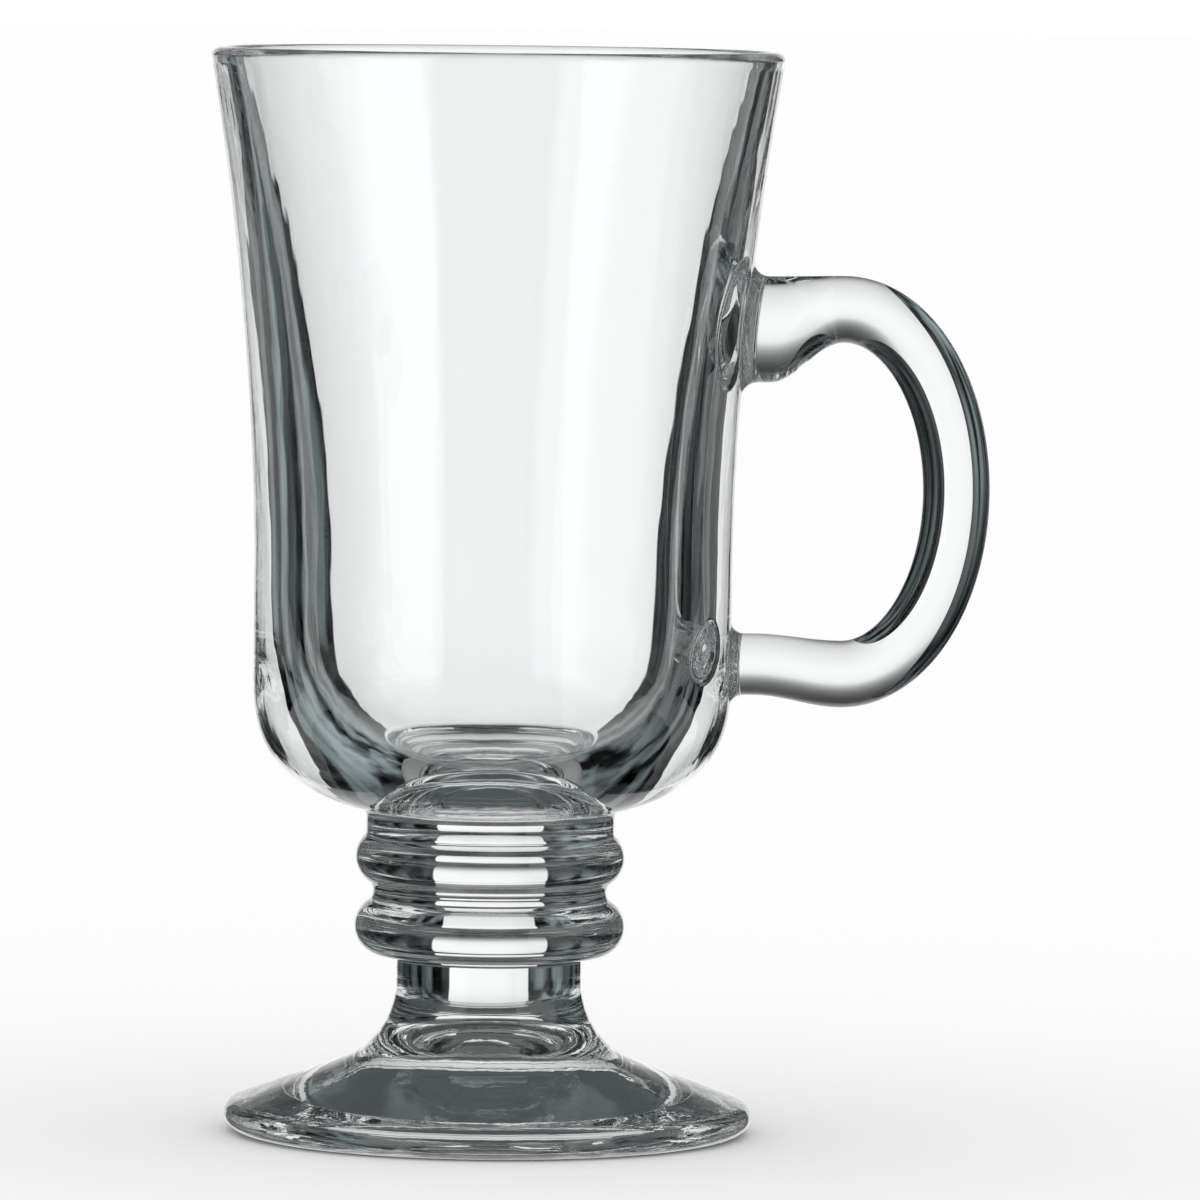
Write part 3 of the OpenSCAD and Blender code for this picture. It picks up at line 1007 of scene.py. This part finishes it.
# %% Levels of the panel, the cards and the lamps
PANEL_EDGES = (-0.315, 0.29)
PANEL_EDGE_SOFT = 0.006
PANEL_BY_RISE = [(-1.0, 0.08), (-0.82, 0.42), (-0.65, 0.72), (-0.5, 0.82), (-0.35, 0.9), (-0.2, 0.98),
                 (-0.06, 1.03), (0.06, 1.02), (0.16, 0.95), (0.25, 0.62), (0.35, 0.3), (0.47, 0.14),
                 (0.65, 0.06), (1.0, 0.05)]
PANEL_BY_SIDE = [(-1.0, 0.85), (-0.4, 0.86), (-0.25, 0.9), (-0.1, 0.99), (0.1, 1.0), (0.4, 1.03),
                 (1.0, 1.0)]
CARDS_BY_SIDE = [(-1.0, 0.08), (-0.85, 0.08), (-0.7, 0.13), (-0.55, 0.17), (-0.45, 0.12), (0.0, 0.09),
                 (0.42, 0.09), (0.55, 0.07), (0.7, 0.045), (1.0, 0.045)]
CARDS_BY_RISE = [(-1.0, 1.0), (-0.5, 1.25), (-0.1, 1.0), (0.06, 0.45), (0.3, 0.2), (0.5, 0.35),
                 (0.75, 0.7), (1.0, 0.8)]
CARD_COLOUR = (0.87, 1.02, 1.05, 1)
CARD_WAVES = (7.0, 1.8, 7.0)
CARD_DETAIL = 2.0
STREAK_EDGES = (0.36, 0.64)
CARD_STREAKS = (0.0, 2.0)
LEFT_LAMP_EDGES = (-0.84, -0.44)
LEFT_LAMP_SOFT = 0.06
RIGHT_LAMP_EDGES = (0.55, 0.985)
RIGHT_LAMP_SOFT = 0.015
LAMP_RISES = (-0.6, 0.6)
LAMP_END_SOFT = 0.06
LAMP_LIGHT = 0.9
OVERHEAD_FROM = 0.78
OVERHEAD_SOFT = 0.03
OVERHEAD_LIGHT = 0.12
FRONT_SOFT = 0.05
print(f"panel {PANEL_EDGES}, lamps {LEFT_LAMP_EDGES} and {RIGHT_LAMP_EDGES} to the side")


# %% Masks and curves for the shell
def by_place(tree, value, points):
    """A smooth curve through listed points from -1 to 1, read at a value."""
    share = product(tree, math_node(tree, "ADD", value, 1.0), 0.5)
    curve = node_of(tree, "ShaderNodeFloatCurve", {"Value": share})
    spots = curve.mapping.curves[0].points
    for spot, (at, level) in zip(spots, (points[0], points[-1])):
        spot.location = ((at + 1) / 2, level)
    for at, level in points[1:-1]:
        spots.new((at + 1) / 2, level)
    curve.mapping.update()
    return curve.outputs["Value"]


def edge_mask(tree, value, low, high):
    """0 at one value and 1 at another, with a smooth step between."""
    return node_of(tree, "ShaderNodeMapRange", {
        "Value": value, "From Min": low, "From Max": high, "To Min": 0.0, "To Max": 1.0},
        interpolation_type="SMOOTHSTEP").outputs["Result"]


def band_mask(tree, value, edges, soft):
    """1 between two edges and 0 outside them."""
    low, high = edges
    return product(tree, edge_mask(tree, value, low - soft, low + soft),
                   edge_mask(tree, value, high + soft, high - soft))


def mixed(tree, share, first, second):
    """A number between two others, by a share."""
    return node_of(tree, "ShaderNodeMix", {0: share, 2: first, 3: second}).outputs[0]


# %% The shell's material
def card_level(tree, way, side, rise):
    """How bright the dark cards are in a direction."""
    streaks = edge_mask(tree, noise(tree, way, CARD_WAVES, CARD_DETAIL), *STREAK_EDGES)
    return product(tree, mixed(tree, streaks, *CARD_STREAKS),
                   by_place(tree, side, CARDS_BY_SIDE), by_place(tree, rise, CARDS_BY_RISE))


def lamp_mask(tree, side, rise, front):
    """1 where a lamp stands, at each side in front."""
    lamps = math_node(tree, "ADD", band_mask(tree, side, LEFT_LAMP_EDGES, LEFT_LAMP_SOFT),
                      band_mask(tree, side, RIGHT_LAMP_EDGES, RIGHT_LAMP_SOFT))
    return product(tree, lamps, band_mask(tree, rise, LAMP_RISES, LAMP_END_SOFT),
                   edge_mask(tree, front, -FRONT_SOFT, FRONT_SOFT))


def shell_material():
    """A white panel behind the mug, two lamps in front and dark cards all round, by the direction."""
    material, tree, out = new_material("studio_cards")
    way = node_of(tree, "ShaderNodeVectorMath", {0: object_place(tree)}, operation="NORMALIZE")
    parts = node_of(tree, "ShaderNodeSeparateXYZ", {"Vector": way.outputs["Vector"]})
    side, rise, front = (parts.outputs[axis] for axis in "XYZ")
    cards = card_level(tree, way.outputs["Vector"], side, rise)
    panel = product(tree, by_place(tree, rise, PANEL_BY_RISE), by_place(tree, side, PANEL_BY_SIDE))
    behind = product(tree, band_mask(tree, side, PANEL_EDGES, PANEL_EDGE_SOFT),
                     edge_mask(tree, front, FRONT_SOFT, -FRONT_SOFT))
    before = lamp_mask(tree, side, rise, front)
    overhead = edge_mask(tree, rise, OVERHEAD_FROM - OVERHEAD_SOFT, OVERHEAD_FROM + OVERHEAD_SOFT)
    level = mixed(tree, before, mixed(tree, behind, cards, panel), LAMP_LIGHT)
    level = mixed(tree, overhead, level, OVERHEAD_LIGHT)
    white = math_node(tree, "MAXIMUM", overhead, math_node(tree, "MAXIMUM", behind, before))
    colour = node_of(tree, "ShaderNodeMix", {0: white, 6: CARD_COLOUR, 7: (1, 1, 1, 1)}, data_type="RGBA")
    glow = node_of(tree, "ShaderNodeEmission", {"Color": colour.outputs[2], "Strength": level})
    tree.links.new(glow.outputs["Emission"], out.inputs["Surface"])
    material.cycles.emission_sampling = "NONE"
    return material


# %% The light shell
SHELL_R = 4.0
SHELL_SUBDIVISIONS = 5


def seen_in_glass_only(piece):
    """Hides a stage piece from everything but the rays that left a glass surface."""
    piece.visible_camera = False
    piece.visible_diffuse = False
    piece.visible_shadow = False
    piece.visible_volume_scatter = False


shape = bmesh.new()
bmesh.ops.create_icosphere(shape, subdivisions=SHELL_SUBDIVISIONS, radius=SHELL_R)
shell = placed_piece("studio_shell", mesh_of(shape, "studio_shell", shell_material()))
shell.location = aim
shell.constraints.new("COPY_ROTATION").target = camera
seen_in_glass_only(shell)
print(f"shell of {len(shell.data.polygons)} faces, {SHELL_R} m away")

# %% The floor, the mat of painted shade and the world
FLOOR_HALF = 12.0
FLOOR_WHITE = (0.985, 0.985, 0.985, 1)
# The mat's size, drop and grey make painted shade under the foot, seen only through the glass.
SHADE_MAT_R = 25.3
SHADE_MAT_DROP = 0.4
SHADE_MAT_GREY = (0.077, 0.09, 0.092, 1)
SHADE_MAT_SIDES = 96


def plain_card(name, colour):
    """A plain matt card."""
    material, tree, out = new_material(name)
    card = node_of(tree, "ShaderNodeBsdfPrincipled", {
        "Base Color": colour, "Roughness": 1.0, "Specular IOR Level": 0.0})
    tree.links.new(card.outputs["BSDF"], out.inputs["Surface"])
    return material


floor_corners = [(x * FLOOR_HALF, y * FLOOR_HALF, 0) for x, y in ((-1, -1), (1, -1), (1, 1), (-1, 1))]
floor_mesh = bpy.data.meshes.new("floor")
floor_mesh.from_pydata(floor_corners, [], [(0, 1, 2, 3)])
floor_mesh.materials.append(plain_card("pale_card", FLOOR_WHITE))
floor_plane = placed_piece("floor", floor_mesh)
floor_plane.visible_glossy = False
floor_plane.visible_transmission = False

# The dark mat is painted shade: a grey card that only the glass sees, put under the foot in place of the
# shade on the floor there, so that the foot's hollow shows dark.
shape = bmesh.new()
bmesh.ops.create_circle(shape, cap_ends=True, segments=SHADE_MAT_SIDES, radius=SHADE_MAT_R * MM)
painted_shade_mat = placed_piece("painted_shade_mat", mesh_of(shape, "painted_shade_mat", plain_card("painted_shade_card", SHADE_MAT_GREY)))
painted_shade_mat.location.z = -SHADE_MAT_DROP * MM
seen_in_glass_only(painted_shade_mat)

world = bpy.data.worlds.new("studio")
world.use_nodes = True
world.node_tree.nodes.clear()
sky = node_of(world.node_tree, "ShaderNodeBackground", {"Color": (1, 1, 1, 1), "Strength": 1.0})
node_of(world.node_tree, "ShaderNodeOutputWorld", {"Surface": sky.outputs["Background"]})
bpy.context.scene.world = world
print(f"floor {2 * FLOOR_HALF:.0f} m wide, mat of radius {SHADE_MAT_R} mm, {SHADE_MAT_DROP} mm under the foot")

# %% [markdown]
# ## Render settings
# Light that enters the thick wall beside the handle's seals runs round inside the glass for a long way
# before it gets out. A path that is cut off counts as black, so the glass needs many more bounces than
# other materials do.

# %% Render settings that the glass needs
GLASS_BOUNCES = 128

bpy.context.scene.view_settings.view_transform = "Standard"
cycles = bpy.context.scene.cycles
cycles.max_bounces = GLASS_BOUNCES
cycles.transmission_bounces = GLASS_BOUNCES
cycles.glossy_bounces = GLASS_BOUNCES
cycles.transparent_max_bounces = 2 * GLASS_BOUNCES
print("longest light path:", cycles.max_bounces, "bounces")
